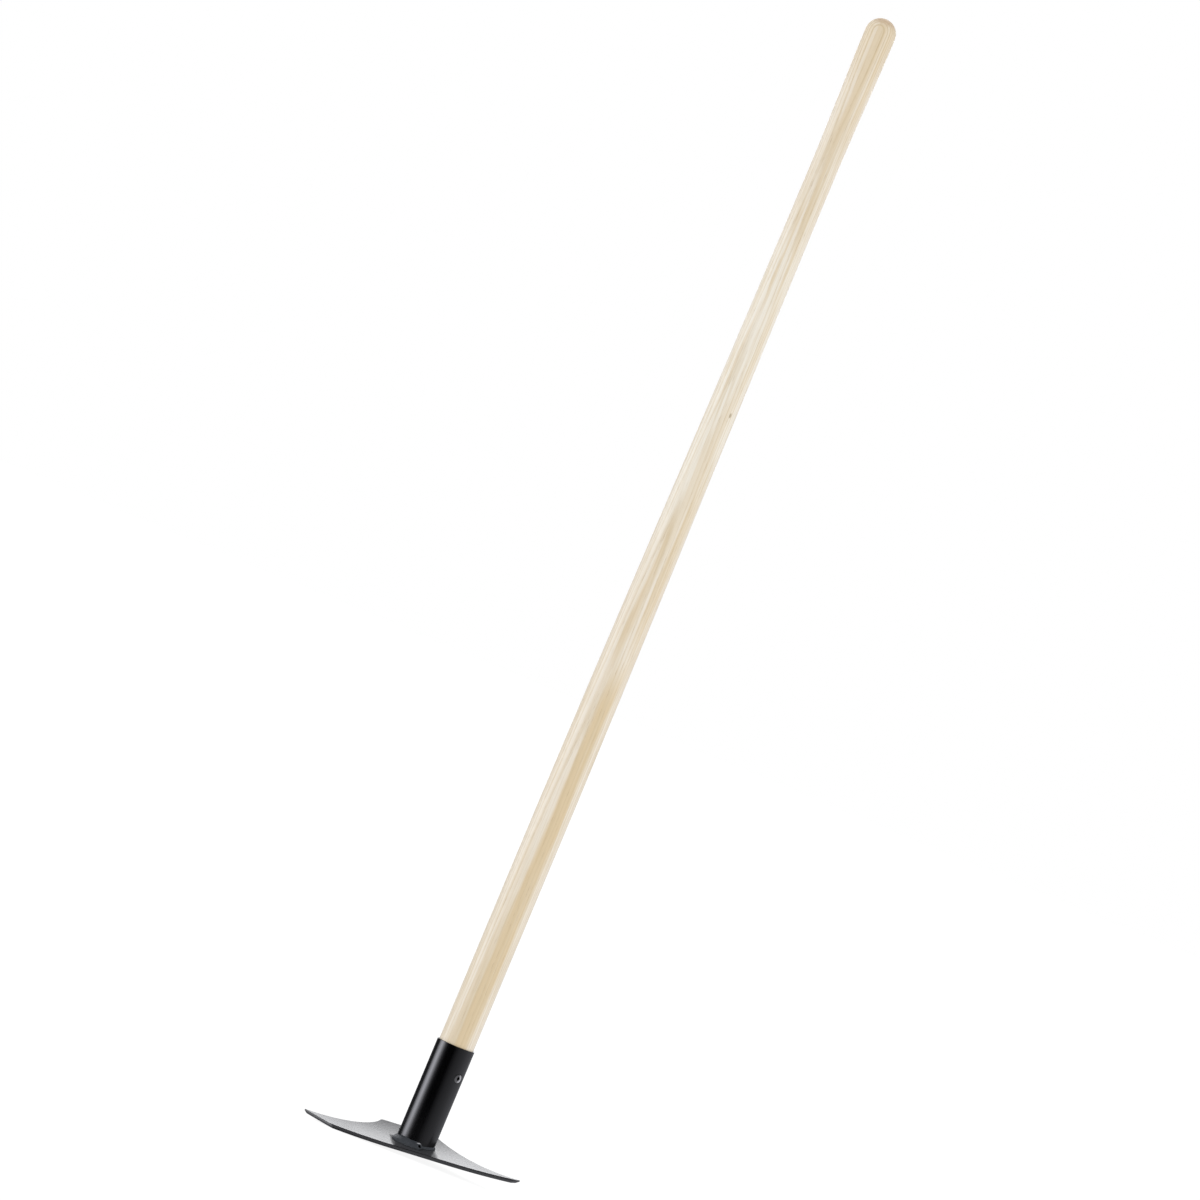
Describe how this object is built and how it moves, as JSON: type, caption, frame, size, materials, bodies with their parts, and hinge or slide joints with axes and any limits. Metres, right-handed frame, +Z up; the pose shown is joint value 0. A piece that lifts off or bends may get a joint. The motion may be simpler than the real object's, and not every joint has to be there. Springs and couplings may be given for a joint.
{
  "type": "fire hoe",
  "caption": "Fire hoe: a long turned ash handle in a black tube socket, welded upright on a shallow dished black steel blade with hollow sides and ground front edge.",
  "frame": {"origin": "middle of the flat spot on the blade's underside, where the handle's axis meets it", "axes": "+Z up the handle, -Y the side of the blade's long cutting edge, +X the right of someone facing that edge"},
  "size_m": [0.2307, 0.0911, 1.2535],
  "materials": {
    "blade_paint": "glossy black paint",
    "tube_paint": "semi-gloss black paint",
    "weld_paint": "semi-gloss black paint over a rippled weld",
    "ash": "smooth sanded pale ash",
    "zinc": "zinc-plated steel"
  },
  "bodies": {
    "root": {"handle": "ash", "socket_tube": "tube_paint", "blade": "blade_paint", "weld_bead_front": "weld_paint", "weld_bead_rear": "weld_paint", "handle_screw": "zinc"}
  },
  "joints": []
}
